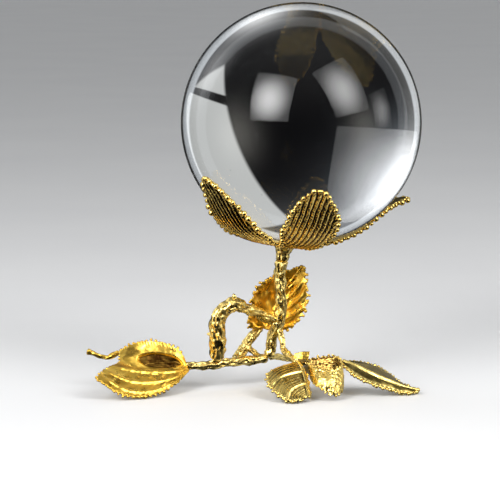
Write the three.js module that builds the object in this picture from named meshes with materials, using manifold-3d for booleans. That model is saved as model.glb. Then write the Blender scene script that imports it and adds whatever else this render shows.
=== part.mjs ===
// A crystal ball held by four curled leaves on top of a gilt branch.
// The branch is brazed together from separately cast twigs and leaves, and its lowest leaves are its feet.
// Millimetres, +Z up. X and Y are measured from the ball's upright axis and Z from the table.
// The last lines then move the origin to the middle of the base of the whole object.
import * as THREE from "three";
import { mergeVertices } from "three/addons/utils/BufferGeometryUtils.js";
import Module from "manifold-3d";

const wasm = await Module();
wasm.setup();

// ---- Driving dimensions ----
const BALL_DIAMETER = 80;
const STEM_TOP = 43.5; // height of the main stem's upper end, under the calyx knob
const LEFT_REACH = 73; // from the ball's axis to the far end of the left leaf's tendril

const SEAT_GAP = 0.3; // between the ball and what it rests in
const BRAZE_GAP = 0.3; // film of braze between two joined castings

const KNOB_HEIGHT = 5.8;
const KNOB_RIM_RADIUS = 3.5;
const KNOB_FOOT_RADIUS = 2.2;

const CRADLE_LEAF_WIDTH = 18.6;
const CRADLE_LEAF_THICKNESS = 0.9;
const GROUND_LEAF_THICKNESS = 0.9;
const UPRIGHT_LEAF_THICKNESS = 1.1;
const STIPULE_THICKNESS = 0.8;
const LEAF_TOOTH = 0.7; // how far the notches of a toothed edge reach in

const STEM_RADIUS = 1.7;
const ARCH_RADIUS = 2.2;
const RUNNER_RADIUS = 1.3;
const LEAF_STALK_RADIUS = 1;
const UPRIGHT_STALK_RADIUS = 1.7;
const TENDRIL_RADIUS = 0.8;
const FOOT_BEAD_RADIUS = 1;
const FOOT_BEAD_HEIGHT = 1.6;
const THORN_LENGTH = 3.4;
const THORN_RADIUS = 1.3;

// ---- Fineness of the facets ----
const BALL_SIDES = 36;
const BALL_BANDS = 22;
const KNOB_SIDES = 16;
const TWIG_SIDES = 8;
const TWIG_STEP = 2.2; // length of one twig facet
const THORN_SIDES = 6;
const BEAD_SIDES = 8;

// ---- Placing ----
// The routes below are drawn for the sizes in DRAWN. Another stem height stretches only what stands
// above the root level, and another reach stretches the stand sideways.
const DRAWN = { stemTop: 43.5, leftReach: 73 };
const ROOT_LEVEL = 12;
const SIDE_STRETCH = LEFT_REACH / DRAWN.leftReach;
const RISE_STRETCH = (STEM_TOP - ROOT_LEVEL) / (DRAWN.stemTop - ROOT_LEVEL);

function place([x, y, z]) {
  const height = z < ROOT_LEVEL ? z : ROOT_LEVEL + (z - ROOT_LEVEL) * RISE_STRETCH;
  return new THREE.Vector3(x * SIDE_STRETCH, y * SIDE_STRETCH, height);
}

// A smooth curve through a list of points.
function curveThrough(points) {
  return new THREE.CatmullRomCurve3(points, false, "catmullrom");
}

// ---- Solids ----
function solidFrom(positions, triangles) {
  return new wasm.Manifold(
    new wasm.Mesh({
      numProp: 3,
      vertProperties: new Float32Array(positions),
      triVerts: new Uint32Array(triangles),
    }),
  );
}

// A three.js geometry as a solid, with its shared corners merged.
function solidOf(geometry) {
  geometry.deleteAttribute("normal");
  geometry.deleteAttribute("uv");
  const merged = mergeVertices(geometry);
  return solidFrom(merged.attributes.position.array, merged.index.array);
}

// A named mesh of a solid, in a gilt or glass finish of its own.
function pieceOf(name, solid, finish) {
  const { vertProperties, triVerts } = solid.getMesh();
  const geometry = new THREE.BufferGeometry();
  geometry.setAttribute("position", new THREE.BufferAttribute(vertProperties, 3));
  geometry.setIndex(new THREE.BufferAttribute(triVerts, 1));
  geometry.computeVertexNormals();
  const piece = new THREE.Mesh(geometry, new THREE.MeshStandardMaterial(finish));
  piece.name = name;
  return piece;
}

const GLASS = { color: 0xf4f8fa, roughness: 0, metalness: 0, transparent: true, opacity: 0.35 };
const LEAF_GOLD = { color: 0xf2c14a, roughness: 0.18, metalness: 1 };
const BARK_GOLD = { color: 0xd8a63c, roughness: 0.32, metalness: 1 };

// ---- Twigs ----
// A twig follows a smooth route. Each point of the route holds x, y, z and the swell there,
// which multiplies the twig's radius. Both ends are blunt cones. Growing it makes it fatter all over,
// which is how it makes room for the braze in a piece that butts against it.
function twig(route, radius, grow = 0) {
  const curve = curveThrough(route.map(place));
  const swell = curveThrough(route.map(([, , , s]) => new THREE.Vector3(s, 0, 0)));
  const steps = Math.max(3, Math.round(curve.getLength() / TWIG_STEP));
  const frames = curve.computeFrenetFrames(steps);
  const radiusAt = (t) => radius * swell.getPoint(curve.getUtoTmapping(t)).x + grow;
  const positions = [];
  for (let i = 0; i <= steps; i++) {
    const centre = curve.getPointAt(i / steps);
    const reach = radiusAt(i / steps);
    for (let k = 0; k < TWIG_SIDES; k++) {
      const angle = (2 * Math.PI * k) / TWIG_SIDES;
      const corner = centre.clone();
      corner.addScaledVector(frames.normals[i], reach * Math.cos(angle));
      corner.addScaledVector(frames.binormals[i], reach * Math.sin(angle));
      positions.push(...corner);
    }
  }
  const bluntness = 0.5;
  const startTip = curve.getPointAt(0).addScaledVector(frames.tangents[0], -bluntness * radiusAt(0));
  const endTip = curve.getPointAt(1).addScaledVector(frames.tangents[steps], bluntness * radiusAt(1));
  const start = positions.length / 3;
  positions.push(...startTip, ...endTip);
  const triangles = [];
  for (let k = 0; k < TWIG_SIDES; k++) {
    const next = (k + 1) % TWIG_SIDES;
    for (let i = 0; i < steps; i++) {
      const here = i * TWIG_SIDES;
      const ahead = here + TWIG_SIDES;
      triangles.push(here + k, here + next, ahead + next);
      triangles.push(here + k, ahead + next, ahead + k);
    }
    triangles.push(start, next, k);
    triangles.push(start + 1, steps * TWIG_SIDES + k, steps * TWIG_SIDES + next);
  }
  return solidFrom(positions, triangles);
}

// A thorn rooted inside a twig, pointing along a direction.
function thorn(root, direction) {
  const cone = new THREE.ConeGeometry(THORN_RADIUS, THORN_LENGTH, THORN_SIDES);
  cone.translate(0, THORN_LENGTH / 2, 0);
  const up = new THREE.Vector3(0, 1, 0);
  cone.applyQuaternion(new THREE.Quaternion().setFromUnitVectors(up, direction.clone().normalize()));
  cone.translate(...place(root));
  return solidOf(cone);
}

// ---- Leaves ----
// A leaf is a sheet of metal: a grid of points on its middle surface, thickened to both sides.
// Growing it makes it thicker and pushes its rim outwards.
function sheet(grid, thickness, grow = 0) {
  const rows = grid.length;
  const columns = grid[0].length;
  const spread = grid.map((row) => row.map((point) => point.clone()));
  for (let i = 0; i < rows; i++) {
    pushAway(spread[i][0], grid[i][1], grow);
    pushAway(spread[i][columns - 1], grid[i][columns - 2], grow);
  }
  for (let j = 0; j < columns; j++) {
    pushAway(spread[0][j], grid[1][j], grow);
    pushAway(spread[rows - 1][j], grid[rows - 2][j], grow);
  }
  const halfThickness = thickness / 2 + grow;
  const upper = [];
  const lower = [];
  for (let i = 0; i < rows; i++) {
    for (let j = 0; j < columns; j++) {
      const along = grid[Math.min(i + 1, rows - 1)][j].clone().sub(grid[Math.max(i - 1, 0)][j]);
      const across = grid[i][Math.min(j + 1, columns - 1)].clone().sub(grid[i][Math.max(j - 1, 0)]);
      const normal = along.cross(across).normalize();
      upper.push(...spread[i][j].clone().addScaledVector(normal, halfThickness));
      lower.push(...spread[i][j].clone().addScaledVector(normal, -halfThickness));
    }
  }
  const at = (i, j) => i * columns + j;
  const below = rows * columns;
  const triangles = [];
  for (let i = 0; i < rows - 1; i++) {
    for (let j = 0; j < columns - 1; j++) {
      const [a, b, c, d] = [at(i, j), at(i + 1, j), at(i + 1, j + 1), at(i, j + 1)];
      triangles.push(a, b, c, a, c, d);
      triangles.push(below + a, below + c, below + b, below + a, below + d, below + c);
    }
  }
  const rim = [];
  for (let i = 0; i < rows - 1; i++) rim.push(at(i, 0));
  for (let j = 0; j < columns - 1; j++) rim.push(at(rows - 1, j));
  for (let i = rows - 1; i > 0; i--) rim.push(at(i, columns - 1));
  for (let j = columns - 1; j > 0; j--) rim.push(at(0, j));
  rim.forEach((a, k) => {
    const b = rim[(k + 1) % rim.length];
    triangles.push(a, below + a, below + b, a, below + b, b);
  });
  return solidFrom([...upper, ...lower], triangles);
}

function pushAway(point, from, distance) {
  const direction = point.clone().sub(from).normalize();
  point.addScaledVector(direction, distance);
}

// The bead under a ground leaf's lowest edge, with the flat underside that it stands on.
function footBead(x, y) {
  const flatRadius = 0.65 * FOOT_BEAD_RADIUS;
  const profile = [
    new THREE.Vector2(0, 0),
    new THREE.Vector2(flatRadius, 0),
    new THREE.Vector2(FOOT_BEAD_RADIUS, 0.4 * FOOT_BEAD_HEIGHT),
    new THREE.Vector2(flatRadius, FOOT_BEAD_HEIGHT),
    new THREE.Vector2(0, FOOT_BEAD_HEIGHT),
  ];
  const bead = new THREE.LatheGeometry(profile, BEAD_SIDES);
  bead.rotateX(Math.PI / 2);
  bead.translate(...place([x, y, 0]));
  return solidOf(bead);
}

// Every second point along both long edges steps inwards, which leaves a row of teeth. Where the
// leaf is narrow the teeth are shallower, so that no edge point passes its neighbour.
function cutTeeth(grid, depth) {
  const last = grid[0].length - 1;
  for (let i = 1; i < grid.length - 1; i += 2) {
    stepIn(grid[i][0], grid[i][1], depth);
    stepIn(grid[i][last], grid[i][last - 1], depth);
  }
  return grid;
}

function stepIn(edge, neighbour, depth) {
  const mostOfTheWay = 0.6 * edge.distanceTo(neighbour);
  pushAway(edge, neighbour, -Math.min(depth, mostOfTheWay));
}

// A surface skinned over guide lines. Each guide runs from the leaf's base to its tip, and
// the guides lie side by side from one edge to the other.
function skin(guides, rows, columns) {
  const lengthwise = guides.map((guide) => curveThrough(guide.map(place)));
  const grid = [];
  for (let i = 0; i <= rows; i++) {
    grid.push(curveThrough(lengthwise.map((curve) => curve.getPoint(i / rows))).getPoints(columns));
  }
  return grid;
}

// ---- Main stem and calyx knob ----
const stemRoute = [
  [-6.2, 0.5, 43.5, 1.2],
  [-7, 1, 38.5, 1],
  [-6.6, 1.5, 31.8, 1.05],
  [-6.6, 2, 26.1, 1.1],
  [-8, 2.5, 20.8, 1.15],
  [-9.7, 3, 15.7, 0.95],
  [-10.5, 3, 9.6, 0.9],
];
const stem = (grow) => twig(stemRoute, STEM_RADIUS, grow);

// The knob stands on the stem and leans so that its axis points at the ball's centre.
const stemTop = place(stemRoute[0]);
const ballRadius = BALL_DIAMETER / 2;
const stemToCentre = BRAZE_GAP + KNOB_HEIGHT + SEAT_GAP + ballRadius;
const stemOffset = Math.hypot(stemTop.x, stemTop.y);
const ballCentre = new THREE.Vector3(0, 0, stemTop.z + Math.sqrt(stemToCentre ** 2 - stemOffset ** 2));
const towardsBall = ballCentre.clone().sub(stemTop).normalize();

function calyxKnob() {
  const neckHeight = 0.45 * KNOB_HEIGHT;
  const rimHeight = 0.78 * KNOB_HEIGHT;
  const neckRadius = (KNOB_FOOT_RADIUS + KNOB_RIM_RADIUS) / 2;
  const profile = [
    new THREE.Vector2(0, 0),
    new THREE.Vector2(KNOB_FOOT_RADIUS, 0),
    new THREE.Vector2(neckRadius, neckHeight),
    new THREE.Vector2(KNOB_RIM_RADIUS, rimHeight),
    new THREE.Vector2(KNOB_RIM_RADIUS, KNOB_HEIGHT - SEAT_GAP),
    new THREE.Vector2(neckRadius, KNOB_HEIGHT),
    new THREE.Vector2(0, KNOB_HEIGHT),
  ];
  const knob = new THREE.LatheGeometry(profile, KNOB_SIDES);
  const turn = new THREE.Quaternion().setFromUnitVectors(new THREE.Vector3(0, 1, 0), towardsBall);
  knob.applyQuaternion(turn);
  knob.translate(...stemTop.clone().addScaledVector(towardsBall, BRAZE_GAP));
  return solidOf(knob);
}

// The stem's blunt end is cut square where the knob stands on it.
function squareCut(solid, at, direction) {
  const side = 6 * STEM_RADIUS;
  const block = new THREE.BoxGeometry(side, side, side);
  block.translate(0, side / 2, 0);
  const turn = new THREE.Quaternion().setFromUnitVectors(new THREE.Vector3(0, 1, 0), direction);
  block.applyQuaternion(turn);
  block.translate(...at);
  return solid.subtract(solidOf(block));
}

// ---- The ball ----
function crystalBall() {
  const ball = new THREE.SphereGeometry(ballRadius, BALL_SIDES, BALL_BANDS);
  ball.rotateX(Math.PI / 2);
  ball.translate(...ballCentre);
  return solidOf(ball);
}

// ---- Cradle leaves ----
// A direction from the ball's centre: turn is measured round the upright axis from +X,
// and rise is measured from straight down.
function directionFrom(turn, rise) {
  const a = THREE.MathUtils.degToRad(turn);
  const b = THREE.MathUtils.degToRad(rise);
  return new THREE.Vector3(Math.sin(b) * Math.cos(a), Math.sin(b) * Math.sin(a), -Math.cos(b));
}

// A cradle leaf starts at the knob's rim and follows the ball up to its tip. Its middle line is
// an arc of a great circle, which bow pushes sideways. bulge lifts its middle off the ball and
// flare curls its tip outwards. A larger fullest moves the widest place towards the tip.
function cradleLeaf({ turn, rise, bow, bulge, flare, baseWidth, fullest }, grow = 0) {
  const rows = 26;
  const columns = 4;
  const knobSide = towardsBall.clone().negate();
  const tip = directionFrom(turn, rise);
  const sweep = knobSide.angleTo(tip);
  const pole = knobSide.clone().cross(tip).normalize();
  const start = (KNOB_RIM_RADIUS + BRAZE_GAP) / ballRadius;
  const inside = ballRadius + SEAT_GAP + CRADLE_LEAF_THICKNESS / 2;
  const tipWidth = 1.2;
  const grid = [];
  for (let i = 0; i <= rows; i++) {
    const u = i / rows;
    const middle = knobSide.clone().applyAxisAngle(pole, start + (sweep - start) * u);
    const rounded = Math.sin(Math.PI * u ** fullest) ** 0.75;
    const width = THREE.MathUtils.lerp(baseWidth, tipWidth, u) + (CRADLE_LEAF_WIDTH - baseWidth) * rounded;
    const lift = bulge * Math.sin(Math.PI * u) ** 2 + flare * Math.max(0, (u - 0.7) / 0.3) ** 2;
    const shift = bow * Math.sin(Math.PI * u);
    const row = [];
    for (let j = 0; j <= columns; j++) {
      const sideways = (shift + (j / columns - 0.5) * width) / ballRadius;
      const ray = middle.clone().multiplyScalar(Math.cos(sideways));
      ray.addScaledVector(pole, Math.sin(sideways));
      row.push(ballCentre.clone().addScaledVector(ray, inside + lift));
    }
    grid.push(row);
  }
  return sheet(cutTeeth(grid, LEAF_TOOTH), CRADLE_LEAF_THICKNESS, grow);
}

const cradleLeaves = {
  cradle_leaf_front: { turn: 277.5, rise: 65.5, bow: -1.6, bulge: 1.5, flare: 3.2, baseWidth: 6, fullest: 1.5 },
  cradle_leaf_left: { turn: 217, rise: 68, bow: -3.4, bulge: 2.1, flare: 1.4, baseWidth: 2.4, fullest: 0.95 },
  cradle_leaf_right: { turn: 20, rise: 55.5, bow: -2.4, bulge: 0.3, flare: 6, baseWidth: 4, fullest: 0.9 },
  cradle_leaf_back: { turn: 111, rise: 58, bow: 1.5, bulge: 0.8, flare: 1.5, baseWidth: 4, fullest: 1 },
};

// ---- Ground runner, arch and roots ----
const runner = (grow) =>
  twig(
    [
      [-38.6, -4.2, 8.3, 0.8],
      [-32.6, -4, 8.3, 1],
      [-28.8, -3.4, 8.6, 1.15],
      [-23.9, -1, 8.8, 1],
      [-19.4, 2.2, 8.9, 1.1],
      [-14.9, 3.6, 8.8, 1],
      [-10.8, 3.1, 9.4, 0.9],
    ],
    RUNNER_RADIUS,
    grow,
  );

const arch = (grow) =>
  twig(
    [
      [-7.8, 2.4, 21.8, 0.7],
      [-12.8, 0, 24.8, 0.75],
      [-17.7, -3, 27.3, 0.8],
      [-21.8, -5.5, 29.2, 0.95],
      [-25.6, -6, 27.8, 1],
      [-27.8, -6, 24.2, 1.1],
      [-27.9, -5, 18.4, 1.2],
      [-28, -4.2, 13, 1.1],
      [-28.5, -3.6, 10, 0.9],
    ],
    ARCH_RADIUS,
    grow,
  );

const uprightStalk = (grow) =>
  twig(
    [
      [-20.8, 1.8, 8.9, 0.8],
      [-21.4, 5, 8.8, 0.9],
      [-20.2, 7.6, 10.2, 1.05],
      [-18.4, 9, 12.8, 0.95],
      [-16.4, 9.8, 15.8, 0.9],
      [-13.2, 10.4, 18.6, 0.7],
    ],
    UPRIGHT_STALK_RADIUS,
    grow,
  );

const rootFork = () =>
  twig(
    [
      [-17.8, 9, 12.2, 0.9],
      [-15, 8.8, 9.8, 0.9],
      [-12.2, 5.4, 8.9, 1.1],
    ],
    LEAF_STALK_RADIUS,
  );

// ---- Upright leaf ----
const uprightLeafGuides = [
  [
    [-13.2, 9.9, 18.9],
    [-17.2, 7.6, 19.5],
    [-17, 6.8, 27],
    [-14.2, 6.8, 33.6],
    [-7.5, 7.6, 37.6],
    [0.2, 8.6, 39.9],
  ],
  [
    [-12.2, 10.3, 18.7],
    [-10.4, 10.4, 20.5],
    [-8.3, 10.6, 25.5],
    [-6, 10.4, 30],
    [-3, 9.8, 35],
    [0.9, 8.9, 40.2],
  ],
  [
    [-11.2, 9.9, 18.4],
    [-4.2, 7.8, 18.7],
    [1, 6.8, 24.2],
    [2.4, 6.8, 30],
    [2.1, 7.4, 35],
    [1.5, 8.6, 39.9],
  ],
];

// ---- Left leaf and its tendril ----
const leftLeafGuides = [
  [
    [-38.4, -3.4, 8.8],
    [-41.5, -3, 13.9],
    [-49, -3.1, 16.4],
    [-55.8, -2, 15.4],
    [-60.8, -1.2, 12.8],
  ],
  [
    [-38.2, -4, 8.3],
    [-42, -4.4, 10.8],
    [-49, -4.6, 11.9],
    [-55.6, -4.6, 12.1],
    [-60.6, -4.4, 11.2],
  ],
  [
    [-38, -4.8, 7.8],
    [-42.5, -6.4, 7.1],
    [-49, -7.2, 7],
    [-55.5, -7.6, 8],
    [-60.6, -8.2, 9.9],
  ],
  [
    [-37.9, -5.4, 7.5],
    [-42.2, -9, 7.3],
    [-49, -10.6, 7.8],
    [-56.5, -12, 8.6],
    [-63, -13.6, 9.6],
  ],
  [
    [-37.7, -6, 7.2],
    [-42.2, -11.8, 5.4],
    [-49.6, -15, 4.7],
    [-57.5, -17.6, 5.6],
    [-65.6, -18.8, 8.8],
  ],
  [
    [-37.6, -6.6, 6.8],
    [-42.6, -14, 3.3],
    [-50, -19.4, 0.75],
    [-58.5, -23, 1.9],
    [-67.6, -23.6, 7.6],
  ],
];

const tendril = () =>
  twig(
    [
      [-61.3, -0.4, 12.4, 1],
      [-63.3, -0.8, 11.1, 1.25],
      [-65.1, -1, 10.5, 0.9],
      [-67.7, -1, 11, 0.85],
      [-70.2, -0.6, 12, 1],
      [-72, -0.3, 12.5, 1.4],
    ],
    TENDRIL_RADIUS,
  );

// ---- Front leaf cluster ----
const frontStalk = (grow) =>
  twig(
    [
      [-7.6, 1.8, 20.6, 0.8],
      [-6.2, -0.6, 16.5, 0.85],
      [-5.8, -1.8, 13.4, 0.95],
      [-3.9, -5, 11.8, 1],
      [-1.4, -8.6, 10.5, 1.1],
    ],
    LEAF_STALK_RADIUS,
    grow,
  );

const frontLeafGuides = [
  [
    [-2.4, -9, 9.6],
    [-10.2, -13, 7.7],
    [-11, -19, 5.2],
    [-8.4, -24, 2.9],
    [-4.4, -27.8, 0.8],
    [-0.6, -27.4, 1.2],
  ],
  [
    [-1.8, -9.6, 10],
    [-5.8, -13.8, 9.2],
    [-6, -19, 7.3],
    [-4.4, -23, 5],
    [-2.2, -26, 2.5],
    [0.4, -26.8, 1.4],
  ],
  [
    [-1.2, -10, 10.2],
    [-0.2, -14, 9.2],
    [0.6, -18, 7.4],
    [1.2, -21.5, 5.2],
    [1.6, -24.2, 3.3],
    [1.9, -25.8, 2],
  ],
  [
    [-0.6, -9.8, 9.8],
    [0.9, -14, 8.4],
    [1.8, -18, 6.6],
    [2.3, -21.4, 4.4],
    [2.6, -24, 2.5],
    [2.8, -25.4, 1.4],
  ],
];

// The rolled leaf is a cuff: its guides run round it, the first along its upper rim.
const rolledLeafGuides = [
  [
    [2.6, -12, 10.2],
    [4.2, -18, 10.2],
    [9, -20.2, 9.6],
    [13, -17.4, 10.8],
    [11.4, -12.8, 13],
    [6, -10.8, 12.3],
    [2.6, -10.4, 11.6],
  ],
  [
    [3, -14, 7.6],
    [4.8, -20.6, 7.4],
    [9.2, -22.8, 6.6],
    [13.3, -19.4, 7],
    [12, -14.2, 8.6],
    [7.4, -12.2, 8.8],
    [3.6, -11.8, 8.8],
  ],
  [
    [3.6, -17, 5.4],
    [5.4, -22.2, 4.8],
    [9.6, -24.4, 2.3],
    [13, -21, 2.8],
    [12.2, -15.8, 4.8],
    [8.4, -13.8, 6],
    [4.6, -13.4, 6.4],
  ],
];

const stipuleGuides = [
  [
    [-1.9, -7.4, 13],
    [2.9, -7.8, 13.7],
  ],
  [
    [-2.4, -8.2, 11.2],
    [2.4, -8.9, 11],
  ],
];

// ---- Right leaf ----
const rightStalk = (grow) =>
  twig(
    [
      [-3.8, -4.9, 11.7, 0.8],
      [1, -5.6, 9.6, 0.9],
      [7, -6.6, 9.4, 0.9],
      [13.6, -11, 10.8, 0.9],
    ],
    LEAF_STALK_RADIUS,
    grow,
  );

const rightLeafGuides = [
  [
    [13.8, -10.2, 10.9],
    [20.8, -7.5, 9.9],
    [26.2, -6.5, 8],
    [30, -7.2, 5.7],
    [33.4, -9, 3.2],
    [38.3, -11.4, 1.6],
  ],
  [
    [13.6, -12, 11.1],
    [18, -12.6, 9.6],
    [23, -13.2, 7.2],
    [28.5, -13.2, 4.8],
    [33.6, -12.4, 2.6],
    [38.6, -12.2, 1.2],
  ],
  [
    [13.5, -13.6, 10.4],
    [16.8, -16.4, 7.8],
    [21.8, -16.9, 5],
    [28.4, -15.8, 2.5],
    [34, -14, 0.9],
    [38.2, -13, 0.7],
  ],
];

// ---- Rear leaf ----
const rearStalk = (grow) =>
  twig(
    [
      [-10.4, 3.4, 9.9, 0.9],
      [-7, 8, 9, 1],
      [-3, 13, 7.4, 1],
      [0.6, 17.8, 5.5, 1],
    ],
    LEAF_STALK_RADIUS,
    grow,
  );

const rearLeafGuides = [
  [
    [-0.6, 17.6, 5],
    [-2.6, 24, 2.8],
    [-1.6, 31, 1.3],
    [1.4, 38, 0.8],
    [5.8, 43, 0.7],
    [9.4, 46, 0.7],
  ],
  [
    [0.5, 17, 5.6],
    [3, 24, 4.4],
    [5, 31, 3.2],
    [6.8, 37, 2.2],
    [8.6, 42, 1.6],
    [10, 46.4, 0.9],
  ],
  [
    [1.6, 16.8, 5],
    [9, 22.5, 2.9],
    [12.6, 29, 1.4],
    [13.2, 35, 0.8],
    [12.2, 41, 0.7],
    [10.6, 46, 0.7],
  ],
];

// ---- Fitting the pieces together ----
// A piece that ends against another is hollowed by that other grown by the braze gap.
const roomForStem = stem(BRAZE_GAP);
const roomForRunner = runner(BRAZE_GAP);
const roomForFrontStalk = frontStalk(BRAZE_GAP);
const roomForUprightStalk = uprightStalk(BRAZE_GAP);
const roomForRightStalk = rightStalk(BRAZE_GAP);
const roomForRearStalk = rearStalk(BRAZE_GAP);

const archTwig = arch()
  .add(thorn([-21.6, -5.5, 29.6], new THREE.Vector3(-0.3, 0, 1)))
  .add(thorn([-28.2, -5, 18.8], new THREE.Vector3(-1, -0.1, 0.15)))
  .subtract(roomForStem)
  .subtract(roomForRunner);

const leftLeaf = sheet(cutTeeth(skin(leftLeafGuides, 24, 8), LEAF_TOOTH), GROUND_LEAF_THICKNESS);
const roomForLeftLeaf = sheet(
  cutTeeth(skin(leftLeafGuides, 24, 8), LEAF_TOOTH),
  GROUND_LEAF_THICKNESS,
  BRAZE_GAP,
);
const frontLeafGrid = cutTeeth(skin(frontLeafGuides, 22, 7), LEAF_TOOTH);
const rolledLeafGrid = cutTeeth(skin(rolledLeafGuides, 24, 4), LEAF_TOOTH);

const pieces = [
  pieceOf("crystal_ball", crystalBall(), GLASS),
  pieceOf("main_stem", squareCut(stem(), stemTop, towardsBall), BARK_GOLD),
  pieceOf("calyx_knob", calyxKnob(), BARK_GOLD),
  pieceOf("ground_runner", runner().subtract(roomForStem), BARK_GOLD),
  pieceOf("arch_twig", archTwig, BARK_GOLD),
  pieceOf("upright_leaf_stalk", uprightStalk().subtract(roomForRunner), BARK_GOLD),
  pieceOf("root_fork", rootFork().subtract(roomForUprightStalk).subtract(roomForRunner), BARK_GOLD),
  pieceOf("front_leaf_stalk", frontStalk().subtract(roomForStem), BARK_GOLD),
  pieceOf("right_leaf_stalk", rightStalk().subtract(roomForFrontStalk), BARK_GOLD),
  pieceOf("rear_leaf_stalk", rearStalk().subtract(roomForStem), BARK_GOLD),
  pieceOf("left_leaf_tendril", tendril().subtract(roomForLeftLeaf), LEAF_GOLD),
  pieceOf(
    "upright_leaf",
    sheet(cutTeeth(skin(uprightLeafGuides, 20, 6), LEAF_TOOTH), UPRIGHT_LEAF_THICKNESS).subtract(
      roomForUprightStalk,
    ),
    LEAF_GOLD,
  ),
  pieceOf("left_ground_leaf", leftLeaf.subtract(roomForRunner).add(footBead(-51.5, -19.4)), LEAF_GOLD),
  pieceOf(
    "front_ground_leaf",
    sheet(frontLeafGrid, GROUND_LEAF_THICKNESS)
      .subtract(roomForFrontStalk)
      .add(footBead(-4.7, -26.3)),
    LEAF_GOLD,
  ),
  pieceOf(
    "front_rolled_leaf",
    sheet(rolledLeafGrid, GROUND_LEAF_THICKNESS).subtract(
      sheet(frontLeafGrid, GROUND_LEAF_THICKNESS, BRAZE_GAP),
    ),
    LEAF_GOLD,
  ),
  pieceOf(
    "front_stipule",
    sheet(skin(stipuleGuides, 3, 2), STIPULE_THICKNESS).subtract(roomForFrontStalk),
    LEAF_GOLD,
  ),
  pieceOf(
    "right_ground_leaf",
    sheet(cutTeeth(skin(rightLeafGuides, 24, 6), LEAF_TOOTH), GROUND_LEAF_THICKNESS)
      .subtract(roomForRightStalk)
      .add(footBead(33.4, -13)),
    LEAF_GOLD,
  ),
  pieceOf(
    "rear_ground_leaf",
    sheet(cutTeeth(skin(rearLeafGuides, 24, 6), LEAF_TOOTH), GROUND_LEAF_THICKNESS)
      .subtract(roomForRearStalk)
      .add(footBead(9, 42.7)),
    LEAF_GOLD,
  ),
];
// Each cradle leaf makes room for the ones already in place, because their bases meet at the knob.
const placedLeaves = [];
for (const [name, shape] of Object.entries(cradleLeaves)) {
  const leaf = placedLeaves.reduce((kept, room) => kept.subtract(room), cradleLeaf(shape));
  pieces.push(pieceOf(name, leaf, LEAF_GOLD));
  placedLeaves.push(cradleLeaf(shape, BRAZE_GAP));
}

// ---- The whole object, with its origin at the middle of its base ----
const object = new THREE.Group();
object.add(...pieces);
const extent = new THREE.Box3().setFromObject(object, true);
const middle = extent.getCenter(new THREE.Vector3());
object.position.set(-middle.x, -middle.y, -extent.min.z);
export default object;
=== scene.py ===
# %% [markdown]
# # A crystal ball on a gilt branch
# The object is a solid glass ball that rests in four curled leaves on top of a small cast branch. The
# branch is taken to be cast in brass from real twigs and leaves, in separate pieces that are brazed
# together and plated with gold. This lesson rebuilds every piece as a surface worked out with numpy, on
# top of the CAD model, which says where everything is.

# %% Load the CAD frame
import math
import bpy
import numpy as np
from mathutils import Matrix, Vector


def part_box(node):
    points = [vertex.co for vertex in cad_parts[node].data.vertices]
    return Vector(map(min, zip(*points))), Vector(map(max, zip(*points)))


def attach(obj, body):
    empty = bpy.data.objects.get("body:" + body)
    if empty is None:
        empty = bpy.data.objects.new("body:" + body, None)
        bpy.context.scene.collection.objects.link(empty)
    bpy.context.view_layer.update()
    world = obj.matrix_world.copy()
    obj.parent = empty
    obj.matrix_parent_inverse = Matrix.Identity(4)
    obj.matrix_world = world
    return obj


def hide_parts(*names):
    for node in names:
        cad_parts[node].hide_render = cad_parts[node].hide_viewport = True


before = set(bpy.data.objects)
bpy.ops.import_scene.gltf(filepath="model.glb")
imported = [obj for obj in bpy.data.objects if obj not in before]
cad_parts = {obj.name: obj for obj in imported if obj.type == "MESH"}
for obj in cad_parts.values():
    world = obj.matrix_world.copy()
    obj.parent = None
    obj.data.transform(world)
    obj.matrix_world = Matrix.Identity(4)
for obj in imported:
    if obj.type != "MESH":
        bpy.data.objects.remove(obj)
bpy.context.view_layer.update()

# %% [markdown]
# ## One ruler for everything
# All sizes below are in millimetres, with x and y measured from the upright line through the ball's
# centre and z from the table. The ball's CAD node says where that line is and how big the ball is, so
# nothing has to be placed by eye. Points become metres only when they go into a mesh.

# %% Where the ball is
MM = 0.001
ball_low, ball_high = (np.array(corner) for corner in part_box("crystal_ball"))
ball_middle = (ball_low + ball_high) / 2
AXIS = np.array([ball_middle[0], ball_middle[1], 0.0])
BALL_CENTRE = np.array([0.0, 0.0, ball_middle[2] / MM])
BALL_RADIUS = (ball_high[2] - ball_low[2]) / 2 / MM
print("ball radius", round(BALL_RADIUS, 2), "mm, centre height", round(BALL_CENTRE[2], 2), "mm")

# %% [markdown]
# ## Smooth lines and skins
# A leaf is described by a few guide lines that run side by side from its base to its tip. A Catmull-Rom
# spline passes through every point it is given, so a guide goes exactly where it is drawn. The same
# spline, run across the guides, fills in the surface between them. Bezier patches would also do, but
# their handles don't lie on the leaf, which makes them harder to read.

# %% Splines and skins
def through(points, t):
    """The smooth line through points at each t from 0 to 1. Between two points it is the cubic whose
    slope at each point is half the step from the point before to the point after. The ends are
    continued by mirroring, and t shares the line equally between the points."""
    points = np.asarray(points, float)
    ends = 2 * points[:1] - points[1:2], 2 * points[-1:] - points[-2:-1]
    padded = np.concatenate([ends[0], points, ends[1]])
    place = np.clip(t, 0, 1) * (len(points) - 1)
    first = np.minimum(place.astype(int), len(points) - 2)
    f = (place - first).reshape(place.shape + (1,) * (points.ndim - 1))
    a, b, c, d = (padded[first + k] for k in range(4))
    return 0.5 * (2 * b + (c - a) * f + (2 * a - 5 * b + 4 * c - d) * f**2 + (3 * b - a - 3 * c + d) * f**3)


def skin(guides, rows, columns):
    """A grid of points over the guides: first each guide is followed to u, then a smooth line across
    the guides is followed to v."""
    u, v = np.linspace(0, 1, rows), np.linspace(0, 1, columns)
    lengthwise = through(np.moveaxis(np.asarray(guides, float), 1, 0), u)
    return np.moveaxis(through(np.moveaxis(lengthwise, 1, 0), v), 0, 1)


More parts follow.
